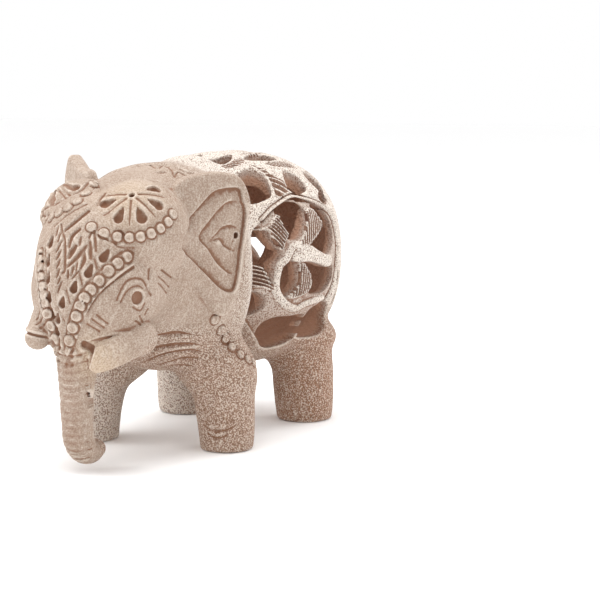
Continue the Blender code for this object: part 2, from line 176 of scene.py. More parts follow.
for (centre, radii, fullness), blend in MASSES:
    low = np.array(centre) - radii - 8
    high = np.array(centre) + radii + 8
    block.add(low, high, full_ellipsoid(centre, radii, fullness), blend)


# The legs, four short pillars left standing under the body. They flare into it, and the
# soles are rubbed flat together. Rows go up the leg: height, x, y, half width, half depth.
FORE_FEET = ((19.5, -10, 7.4), (-21.5, -14.5, 7.4))
FORE_TOP = ((21, 16.5, -11, 12, 11), (27, 15.3, -11, 10.8, 11), (36, 13.2, -11, 7.2, 7.7))
HIND_FEET = ((19.5, 38.5, 8.3), (-18.5, 33, 8.3))
HIND_TOP = ((21, 17.5, 36, 11, 11), (27, 17.5, 36, 12.2, 12.2), (36, 14, 34, 9, 9))


def curve(points, steps=6, closed=False):
    """A smooth line through the points."""
    points = np.array(points, float)
    if closed:
        ends = np.concatenate([points[-1:], points, points[:2]])
    else:
        ends = np.concatenate([2 * points[:1] - points[1:2], points, 2 * points[-1:] - points[-2:-1]])
    t = np.arange(steps)[:, None] / steps
    pieces = [0.5 * (2 * b + (c - a) * t + (2 * a - 5 * b + 4 * c - d) * t ** 2
                     + (3 * b - a - 3 * c + d) * t ** 3)
              for a, b, c, d in zip(ends, ends[1:], ends[2:], ends[3:])]
    if not closed:
        pieces.append(points[-1:])
    return np.concatenate(pieces)


def soft_most(one, other, blend):
    return -soft_least(-one, -other, blend)


def tower(rows):
    """A form whose level sections are ellipses, each row a height, a middle and half sizes."""
    rows = curve(rows, 6)
    rows = rows[np.argsort(rows[:, 0])]

    def shape(x, y, z):
        cx, cy, w, d = (np.interp(z, rows[:, 0], rows[:, k]).astype(np.float32) for k in range(1, 5))
        u, v = (x - cx) / w, (y - cy) / d
        size = np.sqrt(u * u + v * v) + 1e-4
        across = (size - 1) * size / np.sqrt((u / w) ** 2 + (v / d) ** 2 + 1e-9)
        return soft_most(across, np.maximum(z - rows[-1, 0], rows[0, 0] - z), 1.2)
    return shape


for feet, top in ((FORE_FEET, FORE_TOP), (HIND_FEET, HIND_TOP)):
    for x, y, sole in feet:
        side = math.copysign(1, x)
        hips = [(z, side * cx, cy, w, d) for z, cx, cy, w, d in top]
        hips[0] = (hips[0][0], hips[0][1], (y + hips[0][2]) / 2, hips[0][3], (sole + hips[0][4]) / 2)
        rows = [
            (0, x, y, sole * 0.98, sole * 0.98),
            (4, x, y, sole * 1.04, sole * 1.04),
            (9, x * 0.98, y, sole * 1.1, sole * 1.06),
            (15, (2 * x + hips[0][1]) / 3, y, (2 * sole + hips[0][3]) / 3, sole * 1.12),
        ] + hips
        block.add((x - 20, y - 20, -1), (x + 20, y + 20, 40), tower(rows), 2)


# The head and the trunk. The head is a tall egg with a flat brow, and the trunk hangs
# close to it and curls back at the tip. Tusks, small and blunt, stand off its root.
HEAD = (
    (73, 0, -37, 8, 8), (70, 0, -38, 13, 13), (63, 0, -39, 16.4, 17.8), (55, 0, -40, 17.6, 19.8),
    (48, 0, -41.3, 18.3, 19.6), (42, 0, -43.5, 16.8, 17), (37, 0, -46.5, 13.5, 12.8), (32, 0, -50, 8.5, 8),
)
TRUNK = (
    (0, -50, 40, 7), (0, -53.5, 31, 5.1), (0, -54.6, 22, 4.2), (0, -54.4, 12, 3.8), (0, -53, 7, 3.6),
    (0, -49.8, 4.9, 3.1), (0, -46.8, 5.4, 2.6),
)
TRUNK_FLATNESS = 0.86    # depth of the trunk as a part of its width
TUSKS = (((14, -46, 35.5, 4.6), (10.5, -52.5, 33.4, 4.2), (7.8, -56.6, 30.8, 2.7)),
         ((-14, -45, 40.5, 4.6), (-10.5, -56.5, 35.5, 3.4)))
TUSK_EDGES = (((16, -50, 33.4), (13.2, -52.2, 31), (10.3, -54.8, 29.4), (7.9, -57, 28.7)),
              ((16.4, -49.6, 34.8), (12, -53, 35), (8.6, -56, 34.2), (7.6, -57, 32), (6.6, -56.6, 29.2)),
              ((-15, -46, 42.8), (-12, -53, 40.6), (-10, -57.4, 38), (-10, -57.8, 35)))

block.add((-24, -64, 28), (24, -14, 77), tower(HEAD), 2.5)
trunk = curve(TRUNK, 4)


def trunk_shape(x, y, z):
    near = 99
    for a, b in zip(trunk, trunk[1:]):
        near = np.minimum(near, bar_distance(x * TRUNK_FLATNESS, y, z, a[:3], b[:3], a[3], b[3]))
    return near


block.add((-12, -64, -1), (12, -38, 48), trunk_shape, 2.5)
for tusk in TUSKS:
    tusk = np.array(tusk)
    block.lay(tusk[:, :3], tusk[:, 3], 0.8)
for edge in TUSK_EDGES:
    block.lay(edge, 0.9, 1.6)


# The tail, left standing as a rib down the middle of the rump. It is part of the block,
# so it lies close against the body all the way down.
TAIL = ((0, 57.5, 63, 2.6), (0, 60.2, 50, 2.4), (0, 58.4, 36, 2.2), (0, 53.5, 26, 3))
tail = curve(TAIL, 4)
block.lay(tail[:, :3], tail[:, 3], 1.5)


# The two domes on the brow, ornaments of the head cloth. They are low caps of stone that
# lean forward and outward, the left one larger.
DOMES = {1: ((11, -43.2, 68.2), 11), -1: ((-9.8, -41.5, 69.4), 9)}
DOME_AXIS = (0.25, -0.6, 0.76)
DOME_RISE = 0.5          # as a part of the rim radius


def dome_ball(side):
    """The ball that a dome is a cap of, as its middle and radius, and the way out of the dome."""
    rim, radius = DOMES[side]
    axis = np.array(DOME_AXIS) * (side, 1, 1)
    axis /= np.linalg.norm(axis)
    rise = radius * DOME_RISE
    ball = (radius ** 2 + rise ** 2) / (2 * rise)
    return rim + axis * (rise - ball), ball, axis


for side in DOMES:
    middle, ball, _ = dome_ball(side)
    block.add(middle - ball - 2, middle + ball + 2, full_ellipsoid(middle, (ball,) * 3, 2), 0.6)


# The ears, slabs that stand out from the neck and lie back along the shoulders. They are
# drawn on their own plane, as distance from the root and height.
EARS = {
    1: ((17.5, -33), (30.5, -15), (
        (0, 74), (8.3, 77), (15, 77), (19.6, 75), (21.9, 69), (20.8, 60),
        (19.6, 51), (17.6, 43.5), (13.7, 38.7), (8.8, 42.6), (3.6, 52), (-1, 62))),
    -1: ((-14, -28), (-28, -18.5), (
        (0, 75.5), (5, 77.5), (10, 80), (12.3, 80.5), (14.6, 76.6), (16.4, 70),
        (17, 60), (16, 50), (13, 43), (8, 42), (2, 52), (-1, 62))),
}
EAR_THICKNESS = 4.0
EAR_ROUNDING = 1.4


def segment_square(u, v, a, b):
    """Square of the distance in a plane from the straight line between two points."""
    eu, ev = b[0] - a[0], b[1] - a[1]
    t = np.clip(((u - a[0]) * eu + (v - a[1]) * ev) / max(eu * eu + ev * ev, 1e-9), 0, 1)
    return (u - a[0] - eu * t) ** 2 + (v - a[1] - ev * t) ** 2


def edge_distance(u, v, corners):
    """Distance in a plane from a smooth closed outline, below zero inside it."""
    outline = curve(corners, 4, closed=True)
    nearest, inside = 1e9, False
    for a, b in zip(outline, np.roll(outline, -1, axis=0)):
        eu, ev = b[0] - a[0], b[1] - a[1]
        left = u - a[0] < eu * (v - a[1]) / (ev if abs(ev) > 1e-9 else 1e-9)
        inside = inside ^ (((v < a[1]) != (v < b[1])) & left)
        nearest = np.minimum(nearest, segment_square(u, v, a, b))
    return np.where(inside, -1, 1) * np.sqrt(nearest)


def ear_frame(side):
    """Where the plane of an ear starts, the way out along it, and the way that it faces."""
    root, edge = (np.array(end, float) for end in EARS[side][:2])
    out = (edge - root) / np.linalg.norm(edge - root)
    return root, out, np.array([out[1], -out[0]]) * side


def along(x, y, root, way):
    return (x - root[0]) * way[0] + (y - root[1]) * way[1]


def ear_space(root, out, pad, bottom, top):
    """Two corners of the space that an ear is in."""
    reach = root + out * 24
    return (*(np.minimum(root, reach) - pad), bottom), (*(np.maximum(root, reach) + pad), top)


for side, (_, _, corners) in EARS.items():
    root, out, facing = ear_frame(side)

    def ear(x, y, z):
        flat = np.abs(along(x, y, root, facing) + EAR_THICKNESS / 2) - EAR_THICKNESS / 2
        return soft_most(edge_distance(along(x, y, root, out), z, corners), flat, EAR_ROUNDING)

    block.add(*ear_space(root, out, (5, 6), 36, 82), ear, 1.0)

solid_form = block.field.copy()


# The hollow of the barrel, roughly gouged out through the windows, which leaves a wall
# of about four millimetres. The gouge marks are left as they are.
WALL = 4.2
GOUGE_DEPTH = 0.5


def hollow(x, y, z):
    centre, radii, fullness = BARREL
    skin = full_ellipsoid(centre, [r - WALL for r in radii], fullness)(x, y, z)
    marks = np.sin(0.9 * x + 2.1 * np.sin(0.35 * y)) * np.sin(0.8 * y + 0.6 * np.sin(0.5 * x))
    return skin + GOUGE_DEPTH * marks * np.sin(0.3 * z)


block.cut((-30, -4, 19), (30, 60, 80), hollow, 0)


# The windows of the pierced body. Those of a side are seen square on, as along y and
# height, those of the top as x and along y, and those of the rump as x and height.
SIDE_WINDOWS = (
    ((10.2, 63.4), (12.8, 65.6), (17, 66.2), (20.8, 64.2), (20.6, 61.4), (18, 58.2), (14.2, 57),
     (11.6, 58)),
    ((26.1, 64.8), (31, 63.4), (34.6, 60.4), (35.7, 56.4), (33, 52), (27.2, 51.7), (21, 54.8),
     (26, 57.6), (28.5, 60), (27, 62.4)),
    ((1.4, 55.8), (3, 58.6), (5, 59.4), (6.8, 57.2), (8.6, 53.2), (7.4, 49), (6.6, 42.9), (4.6, 48.4),
     (1, 51)),
    ((10, 49.3), (12.2, 49.9), (14.5, 49), (15.2, 45), (13.8, 42), (11, 41), (8.6, 42.8), (8.6, 46.6)),
    ((17.8, 49.3), (24, 48.4), (29.5, 46.8), (33.6, 47.2), (34.6, 44), (30.4, 41), (25, 40.6), (21.2, 41.4),
     (20.8, 45)),
    ((0.6, 40.6), (2, 41.6), (4.6, 40.6), (5.2, 38.4), (3.6, 36.6), (1.4, 36.8)),
    ((7.6, 31.6), (9.4, 33.6), (15, 33.8), (20.8, 33.6), (20.4, 31), (22, 26.8), (17, 24.9), (10.6, 26.2)),
    ((33.4, 36.6), (27.9, 35.6), (23, 34), (22.4, 30.6), (23.6, 27), (30, 27), (35.6, 31)),
    ((31.4, 66.8), (34.4, 68.6), (37, 68), (38.4, 65.8), (35.6, 64.6)),
    ((38.4, 45), (40.6, 44.8), (41.2, 42), (39, 40.6)),
    ((39, 39.4), (41.4, 39), (40.4, 36.2), (37.4, 34.8)),
)
TOP_WINDOWS = (
    ((12.4, 7), (13.6, 13), (17, 14.8), (20.6, 13.6), (22.6, 10.6), (20, 6), (16, 4)),
    ((19.8, 24), (21.6, 27.6), (25.2, 28), (26, 23), (24.8, 18.6), (22, 20.6)),
    ((2.4, 7), (6.8, 9), (7.4, 15), (4.8, 20), (2.4, 14)),
    ((10.2, 18), (13.4, 19.6), (15.4, 25), (13.6, 31.6), (9.6, 30), (8.4, 24)),
    ((2.4, 26), (5.6, 28.4), (6.4, 34.6), (4.2, 40.4), (2.2, 34)),
    ((8.6, 36.6), (13, 36), (17, 38.6), (16, 43.6), (11.6, 46.4), (8, 43)),
    ((21.4, 33.4), (24.8, 33), (26.2, 37), (23.6, 40.8), (20.4, 38.6)),
)
RUMP_WINDOWS = (
    ((3.5, 50), (4.8, 51.8), (9, 51.9), (10.4, 50.6), (9.5, 49.4), (8, 47.4), (5.8, 44.6), (4, 47.8)),
    ((11.4, 46.6), (14, 47.7), (18.5, 47.6), (21.8, 46.4), (20.6, 45.2), (15, 45)),
    ((10, 31.2), (11.4, 33.8), (14, 35.3), (19, 35.6), (15, 34.2), (12.8, 31.6), (11.6, 29.2)),
)
# Two more on the right half only
RIGHT_RUMP_WINDOWS = (
    ((5.6, 60.6), (9, 62.8), (14.6, 62), (18.6, 59.6), (15, 55.8), (9, 56)),
    ((13.4, 65.4), (14.6, 67.4), (17.4, 67.6), (20.4, 65.8), (20, 63.9), (15.5, 63.8)),
)
WINDOW_ROUNDING = 0.5


def opening(u, v, windows):
    """Distance from the nearest of the windows, in the plane that they are drawn on."""
    return np.minimum.reduce([edge_distance(u, v, corners) for corners in windows])


def rump_opening(x, z):
    return np.minimum(opening(np.abs(x), z, RUMP_WINDOWS), opening(-x, z, RIGHT_RUMP_WINDOWS))


block.cut((-34, -3, 22), (34, 44, 72),
          lambda x, y, z: np.maximum(opening(y, z, SIDE_WINDOWS), 14.5 - np.abs(x)), WINDOW_ROUNDING)
block.cut((-30, 2, 60), (30, 50, 82),
          lambda x, y, z: np.maximum(opening(np.abs(x), y, TOP_WINDOWS), 61 - z), WINDOW_ROUNDING)
block.cut((-24, 41, 26), (24, 64, 69),
          lambda x, y, z: np.maximum(rump_opening(x, z), 42 - y), WINDOW_ROUNDING)


# The medallion on each side of the barrel: leaves with comb-like cuts, a curling stem and
# a lobed leaf, on a ground that is sunk inside a thin raised rim.
RIM = ((5.5, 62.5), (9.6, 65.6), (16.8, 68.2), (22.4, 67.6), (30.5, 65.4), (36.5, 61.6), (38.6, 54.7),
       (38.2, 48.4), (36.6, 43.6), (34.4, 39.6), (31.3, 36.6), (27.3, 32.2))
LEAVES = (    # outline, direction of the cuts in degrees from level, their pitch
    (((3.1, 59.5), (6.8, 60.8), (9.6, 63.7), (11.5, 62.1), (12.9, 59.4), (10.8, 56.9), (9.3, 53.9),
      (8.2, 54.4), (6.7, 57.1), (6.1, 59.4)), -42, 1.05),
    (((21.7, 64.5), (25.5, 64.4), (27.4, 62.2), (28.8, 59.9), (25.1, 57.3), (20.8, 54.8), (17.5, 54.9),
      (15.2, 55), (18, 57.9), (20.3, 61.5)), 76, 1.05),
    (((14.8, 49.7), (17.8, 49.1), (19.8, 47), (20.8, 43.8), (20.1, 41.5), (18.1, 40.5), (13.7, 39.8),
      (11.6, 40.6), (14.6, 43.2), (15.2, 45.8)), 84, 0.95),
    (((-0.6, 50.6), (1.4, 51), (3.9, 49.5), (5.3, 46.2), (6.6, 42.7), (4.1, 43.7), (1.8, 43.6),
      (-0.6, 42.3)), -4, 1.1),
)
STEM = ((17.4, 55), (13, 54.6), (10.2, 51.2), (8, 49.4), (7.1, 45.7), (7.5, 42.4), (10.1, 39), (15, 36.6),
        (20, 37.6), (28.8, 38.2))
LOBED_LEAF = ((16.3, 54.9), (21.4, 54.2), (24.3, 52.8), (29.4, 50.9), (32.8, 50.3), (31.9, 47.3),
              (26.7, 48.2), (21.1, 49.5), (16, 50), (12.8, 50.6), (12.9, 52.9))
BELLY_EDGE = ((21.5, 27.7), (14.9, 24.6), (8.4, 28), (2.6, 34), (-0.6, 40), (-1.4, 50), (1.4, 58))
GROUND_DEPTH = 0.7
CUT_DEPTH = 0.9


def ramp(value, start, end):
    """0 at start, 1 at end, eased in between."""
    t = np.clip((value - start) / (end - start), 0, 1)
    return t * t * (3 - 2 * t)


def line_distance(u, v, points):
    """Distance in a plane from a smooth line through the points."""
    line = curve(points)
    return np.sqrt(np.minimum.reduce([segment_square(u, v, a, b) for a, b in zip(line, line[1:])]))


def comb(u, v, angle, pitch):
    """Rows of narrow cuts: 1 in the middle of each, 0 on the stone left between."""
    turn = math.radians(angle + 90)
    row = (u * math.cos(turn) + v * math.sin(turn)) / pitch
    return 0.5 + 0.5 * np.cos(2 * math.pi * row)


part, x, u, v = block.region((-34, -3, 20), (34, 42, 70))
ground = ramp(-edge_distance(u, v, RIM + BELLY_EDGE), -0.2, 0.5)
relief = GROUND_DEPTH * ground
for outline, _, _ in LEAVES:
    leaf = ramp(-edge_distance(u, v, outline), -0.3, 0.3)
    relief = relief * (1 - leaf) - 0.1 * leaf
lobes = ramp(-edge_distance(u, v, LOBED_LEAF), -0.3, 0.3)
relief = relief * (1 - lobes)
stem = ramp(line_distance(u, v, STEM), 1.2, 0.6)
relief = relief * (1 - stem) - 0.2 * stem
rim_line = line_distance(u, v, RIM)
relief = relief + 0.5 * ramp(np.abs(rim_line - 0.65), 0.3, 0.1) - 0.15 * ramp(rim_line, 0.5, 0.2)
block.field[part] += (relief * ramp(np.abs(x), 14, 17)).astype(np.float32)


# Leaves over the top of the barrel, between its windows. They are cut with the same
# comb-like rows as those of the medallion, and have no ground sunk round them.
TOP_LEAVES = (
    (((12.9, 15.6), (17, 16.8), (20.7, 17.4), (23.2, 19.6), (24.9, 17.4), (24.2, 11.9), (22.6, 12.8),
      (18.6, 15.2)), 60, 1.15),
    (((8, 8), (10.6, 11), (11.6, 16), (9.6, 18), (8, 14)), 30, 1.15),
    (((7.4, 20), (8.8, 27), (9.4, 33), (7, 35.4), (6.6, 28)), 20, 1.15),
    (((15.8, 20), (18.4, 23), (19.6, 29), (20, 33), (16.6, 31)), 40, 1.15),
)


def hatching(x, y, z):
    """Depth of the comb cuts at places on the skin of the barrel."""
    depth = 0
    for leaves, u, v, flank_share in ((LEAVES, y, z, ramp(np.abs(x), 14, 17)),
                                      (TOP_LEAVES, np.abs(x), y, ramp(z, 60, 63))):
        for outline, angle, pitch in leaves:
            inside = -edge_distance(u, v, outline)
            bent = v + 0.04 * (u - outline[0][0]) ** 2
            depth = np.maximum(depth, comb(u, bent, angle, pitch) * ramp(inside, -0.1, 0.5) * flank_share)
    return depth * CUT_DEPTH


# Carving on the domes: a pin hole at the top, slits that part each dome into sectors, a
# drop sunk in each sector, a hem of two cuts and a row of beads under the rim.
SPOKES = 7
CROWNS = {1: DOME_AXIS, -1: (0.6, -0.15, 0.8)}    # where the middle of the carving lies on each dome
SECTORS = {1: range(-2, 3), -1: range(-1, 2)}
PEARLS = {1: range(-3, 6), -1: range(-5, 0)}
# Places on the side of the right dome that is turned to the left one
INNER_PEARLS = ((-12.4, -48.7, 65), (-8.8, -51.5, 66.1), (-6.1, -52, 67.4), (-3.6, -51.6, 68.8),
                (-1.8, -50.2, 70.4), (-1.5, -46.6, 72.2), (-3.6, -39.8, 74.2))
INNER_RIM = ((-15.9, -44.8, 67.5), (-11.1, -47.1, 69.1), (-8, -47.4, 70.4), (-5.5, -45.6, 72.1),
             (-4.6, -42.7, 73.5), (-5.6, -37.4, 75.1))
INNER_SLITS = (((-13.6, -42.8, 73), (-10.9, -44.6, 72.4), (-7.4, -47, 70.9)),
               ((-12.2, -41.6, 74), (-9.7, -44.5, 72.8), (-7, -46, 71.7)))
INNER_DROPS = (((-14.2, -42.6, 72.2), (-13.9, -43.9, 71.3), (-12.5, -46, 69.9)),
               ((-12.5, -40.5, 74.1), (-9, -43.2, 73.8), (-6.9, -43.5, 73.6)))
BEAD = 3.2               # width of a bead of the brow cloth
PEARL = 2.9              # and of one of the domes and the harness
BEAD_HEIGHT = 0.55
PEARL_PITCH = 1.14 * PEARL


def spots(view, places):
    """Those of the places that meet the stone."""
    found = [view(*place) for place in places]
    return np.array([spot for spot in found if spot is not None])


def on_dome(side, turn, reach, crown=DOME_AXIS):
    """The spot at an angle round the crown, and at a distance from it over the dome."""
    middle, ball, _ = dome_ball(side)
    crown = np.array(crown) * (side, 1, 1)
    crown /= np.linalg.norm(crown)
    across = np.cross(crown, (0, 0, -1))
    across /= np.linalg.norm(across)
    way = np.cross(across, crown) * math.cos(turn) + across * math.sin(turn)
    way = crown * math.cos(reach / ball) + way * math.sin(reach / ball)
    return block.meet(middle + way * (ball + 8), -way)


def settle(line):
    """Places near the stone, moved onto its surface."""
    for _ in range(3):
        line = np.array([spot - block.outward(spot) * block.read(spot) for spot in line])
    return line


def settled(places, side=1, steps=5):
    """A smooth line through places near the stone, laid onto its surface."""
    return settle(curve(places, steps) * (side, 1, 1))


def round_spot(spot, out, radius):
    """The grid round a spot, with each point's squared distance from the line straight
    out of the stone there, and its height along that line."""
    part, x, y, z = block.region(spot - radius - 1, spot + radius + 1)
    away = [value - place for value, place in zip((x, y, z), spot)]
    rise = sum(value * direction for value, direction in zip(away, out))
    return part, np.maximum(sum(value * value for value in away) - rise * rise, 0), rise


def bead(spot, size=BEAD):
    """A flat round bead with a cut all round it."""
    out = block.outward(spot)
    side = np.cross(out, (0.1, 0.2, 1))
    side /= np.linalg.norm(side)
    ring = [spot + (side * math.cos(t) + np.cross(out, side) * math.sin(t)) * size * 0.53
            for t in np.linspace(0, 2 * math.pi, 17)]
    block.groove(ring, 0.4)
    radius = size * 0.46
    part, square, rise = round_spot(spot, out, radius)
    share = np.sqrt(square / radius ** 2 + (rise / BEAD_HEIGHT) ** 2) + 1e-4
    slope = np.sqrt(square / radius ** 4 + (rise / BEAD_HEIGHT ** 2) ** 2 + 1e-9)
    block.field[part] = soft_least(block.field[part], (share - 1) * share / slope, 0.1)


for side, crown in CROWNS.items():
    radius = DOMES[side][1]
    inward = dome_ball(side)[2] * -1

    def across_dome(turn, reaches):
        return spots(on_dome, [(side, turn, radius * reach, crown) for reach in reaches])

    turns = [2 * math.pi * k / SPOKES for k in SECTORS[side]]
    seats = [(across_dome(turn, (0.16, 0.3, 0.5, 0.68, 0.8)),
              across_dome(turn + math.pi / SPOKES, (0.4, 0.52, 0.66))) for turn in turns]
    apex = on_dome(side, 0, 0.01, crown)
    reach = radius * 1.09
    pearls = [on_dome(side, k * PEARL_PITCH / reach, reach) for k in PEARLS[side]]
    hems = [spots(on_dome, [(side, math.pi + turn, radius * far) for turn in np.linspace(-1.2, 1.2, 15)])
            for far in (1.02, 1.2)]
    for slit, drop in seats:
        block.groove(slit, np.linspace(0.5, 0.3, len(slit)))
        block.groove(drop + inward * 0.3, (0.35, 1.0, 1.45), 0.2)
    block.groove([apex, apex + inward * 1.2], 0.8, 0.2)
    for hem in hems:
        block.groove(hem, 0.3)
    for pearl in pearls:
        if pearl is not None:
            bead(pearl, PEARL)
inner_drops = [settled(drop) for drop in INNER_DROPS]
for line in (INNER_RIM, *INNER_SLITS):
    block.groove(settled(line), 0.45)
for drop in inner_drops:
    block.groove(drop, np.linspace(0.5, 1.4, len(drop)), 0.15)
for pearl in settle(INNER_PEARLS):
    bead(pearl, PEARL)


# The brow cloth: a long triangle from the domes to the trunk, with a border of beads, a
# row of drops in arched cells inside it, and a net of long cuts in the middle. Places are
# seen from the front, as x and height. The right half is the narrower one.
BORDER = ((13.9, 57), (12.5, 55.5), (11, 53.7), (9.3, 51.3), (7.7, 49), (6.2, 46.9), (5, 44.8), (3.9, 42.2),
          (2.5, 39.1), (1, 35.6))
OUTER_LINE = ((15, 55), (12.3, 52), (9.2, 48.2), (6.4, 43.5), (4, 38.7), (2.7, 36), (0.8, 32.8),
              (-0.8, 29.4))
INNER_LINE = ((12.8, 58.2), (9.7, 54.4), (5.6, 49), (3.4, 45.2), (1.7, 41), (0, 36.5), (-0.9, 33.2))
DROPS = (((10.2, 58.6), (9.5, 56.8)), ((7.2, 55), (6.6, 53)), ((3.9, 51), (3.3, 49.1)),
         ((0.5, 46.8), (0, 45.1)), ((-1.5, 42.4), (-1.8, 40.9)))
RIGHT_DROPS = (((-5.4, 61.6), (-5.7, 59.8)), ((-5.2, 57), (-5.6, 55.2)), ((-4.6, 52.7), (-4.9, 50.9)),
               ((-3.9, 48), (-4.2, 46.3)), ((-3.4, 43.6), (-3.8, 42)), ((-2.5, 39), (-2.7, 37.6)))
NET = (    # half width of each cut, and its line
    (0.55, (-1.6, 63.4), (0.6, 65.6), (3, 68.3)),
    (0.5, (0.7, 59.6), (1, 62.1), (2.6, 63.9)),
    (0.6, (1.2, 57), (1.8, 58.5), (2.5, 59.8)),
    (0.42, (1.1, 54.6), (3.4, 57), (5.6, 60.2)),
    (0.25, (3.5, 60), (3.5, 62.1)),
    (0.25, (5.6, 61.7), (5.7, 63.1)),
    (0.42, (6.8, 56.9), (6.4, 59.2), (6, 60.9)),
    (0.32, (7.7, 58.7), (7, 61.7), (6.2, 63.5)),
    (0.25, (8.6, 54.1), (7.7, 56.8)),
    (0.42, (4.8, 54.4), (5.3, 56.3), (5, 58.1)),
    (0.25, (3.7, 53.4), (3.7, 55.9)),
    (0.32, (2.5, 52.5), (3, 54.9)),
    (0.25, (2.8, 51.7), (4.8, 54.1)),
    (0.3, (-0.2, 52.9), (0.5, 54.1), (-0.8, 60.7), (-2.3, 62.9), (-3.6, 64.8)),
    (0.28, (-2.9, 58.1), (-1.8, 61)),
    (0.28, (-2.5, 56.3), (-1.6, 58.5)),
    (0.28, (-4.1, 62.2), (-4.4, 64.4)),
    (0.28, (-3.1, 60.6), (-2.9, 62.9)),
    (0.28, (-2.1, 54.1), (-1.4, 56.2)),
    (0.28, (-1.7, 51.8), (-1.2, 53.9)),
    (0.28, (-1.2, 48), (0, 50.9)),
    (0.28, (1.7, 51.8), (1.5, 53.7)),
    (0.25, (-1.3, 50.2), (-0.6, 52)),
)
ARCHES = (((7.3, 57), (8.8, 54.4)), ((4.7, 53.3), (5.6, 50.1)), ((1.5, 48.7), (2.4, 45.5)),
          ((-1.4, 44.3), (0.6, 40.3)), ((7.5, 62.4), (10.8, 60.8), (12.5, 59.5), (15, 59)),
          ((4.5, 69.8), (3.7, 72.5)), ((-5.8, 64.2), (-2.6, 67.2), (1.6, 70)))
CLOTH_EDGE = 0.08        # rounding of the cuts in the cloth


def front(x, z):
    """The spot on the stone that is seen straight from the front at x and height z."""
    return block.meet((x, -63.5, z), (0, 1, 0))


def on_brow(places, steps=4):
    return spots(front, curve(places, steps))


def right_of(places, share, shift):
    """The same line on the right half: x narrowed by a share and moved out."""
    return [(-(px * share + shift), pz) for px, pz in places]


edges = [on_brow(OUTER_LINE), on_brow(right_of(OUTER_LINE, 0.5, 4))]
channels = [on_brow(INNER_LINE), on_brow(right_of(INNER_LINE, 0.35, 2.9))]
arches = [on_brow(row) for row in ARCHES]
net = [(half, on_brow(row)) for half, *row in NET]
drops = [on_brow(row, 5) for row in DROPS + RIGHT_DROPS]
pearls = [front(*place) for place in BORDER + tuple(right_of(BORDER, 0.45, 3.4))]
for half, row in net:
    widths = 0.6 + 0.4 * np.sin(np.linspace(0.35, math.pi - 0.35, len(row)))
    block.groove(row + (0, 0.15, 0), (half + 0.18) * widths, 0.06)
for row in channels:
    block.groove(row, 0.5, CLOTH_EDGE)
for row in arches:
    block.groove(row, 0.42, CLOTH_EDGE)
for row in edges:
    block.groove(row + (0, 0, -0.7), 0.42, CLOTH_EDGE)
    block.lay(row, 0.38, 0.15)
for drop in drops:
    block.groove(drop + (0, 0.35, 0), np.linspace(0.5, 1.2, len(drop)))
for pearl in pearls:
    bead(pearl)


# The face, cut the same on both sides: eyes sunk as flat dishes under two brow lines, small
# nicks, a low ridge along the jaw, and folds under the tusk.
EYE = (16.2, 46.4)
BROWS = ((0.46, (13, 46.3), (13.7, 48.8), (14.5, 50.9), (15.8, 51.5), (16.9, 50.5), (17.7, 46.8)),
         (0.4, (13.6, 45.7), (14.7, 48.4), (15.8, 49.5), (16.7, 49.1), (17.7, 46.7)))
UNDER_EYE = ((15.4, 44.1), (16.2, 43), (16.9, 44.7))
NICKS = (((8.8, 42.5), (10.7, 40.2)), ((7.6, 41.4), (9.8, 39.1)), ((6.3, 40.1), (8.6, 38.2)),
         ((16.9, 43.1), (16.3, 41.6)), ((15.8, 41.5), (15.6, 40)), ((15, 40.3), (15.4, 39.4)),
         ((17.1, 53.3), (17.3, 51.1)))
TEMPLE_TICKS = (((-42.9, 51.3), (-37.9, 48.1)), ((-42.3, 52.9), (-37.2, 50.5)),
                ((-43.2, 49.6), (-38.6, 46.4)))
JAW_LINE = ((5.1, 35.4), (7.6, 36.7), (11, 37.5), (13.1, 37.4), (14.4, 37.4))
FOLDS_UNDER_TUSK = (((2.3, 34), (4, 31.4), (6.3, 29.7)), ((1.8, 33.5), (0.4, 31.1), (-1.1, 28.9)))
JAW_HOLLOW = ((4.8, 34.6), (6.4, 33.4), (6.6, 31.6), (5.6, 30))
EYE_WIDTH = 3.4
EYE_DEPTH = 0.75
NICK = 0.42              # half width of a small cut


def flank(side, y, z):
    return block.meet((33 * side, y, z), (-side, 0, 0))


def dish(spot, radius, depth):
    """A flat round hollow cut square to the surface."""
    part, square, rise = round_spot(spot, block.outward(spot), radius)
    hole = np.maximum(np.sqrt(square) - radius, -rise - depth)
    block.field[part] = np.maximum(block.field[part], -hole)


for side in (1, -1):
    def seen(places, steps=5):
        return spots(front, [(px * side, pz) for px, pz in curve(places, steps)])

    eye = front(EYE[0] * side, EYE[1])
    brows = [(half, seen(row)) for half, *row in BROWS]
    under = seen(UNDER_EYE)
    nicks = [seen(row, 3) for row in NICKS]
    nicks += [spots(flank, [(side, py, pz) for py, pz in curve(tick, 3)]) for tick in TEMPLE_TICKS]
    jaw_line = seen(JAW_LINE)
    folds = [seen(row) for row in FOLDS_UNDER_TUSK]
    jaw = seen(JAW_HOLLOW)
    for half, row in brows:
        block.groove(row, half, 0.08)
    block.groove(under, NICK)
    dish(eye, EYE_WIDTH / 2, EYE_DEPTH)
    for row in nicks:
        block.groove(row, NICK)
    block.lay(jaw_line, 0.32, 0.4)
    block.groove(jaw_line - (0, 0, 0.8), 0.35)
    for row in folds:
        block.groove(row, 0.4, 0.2)
    block.groove(jaw, 1.1, 0.4)


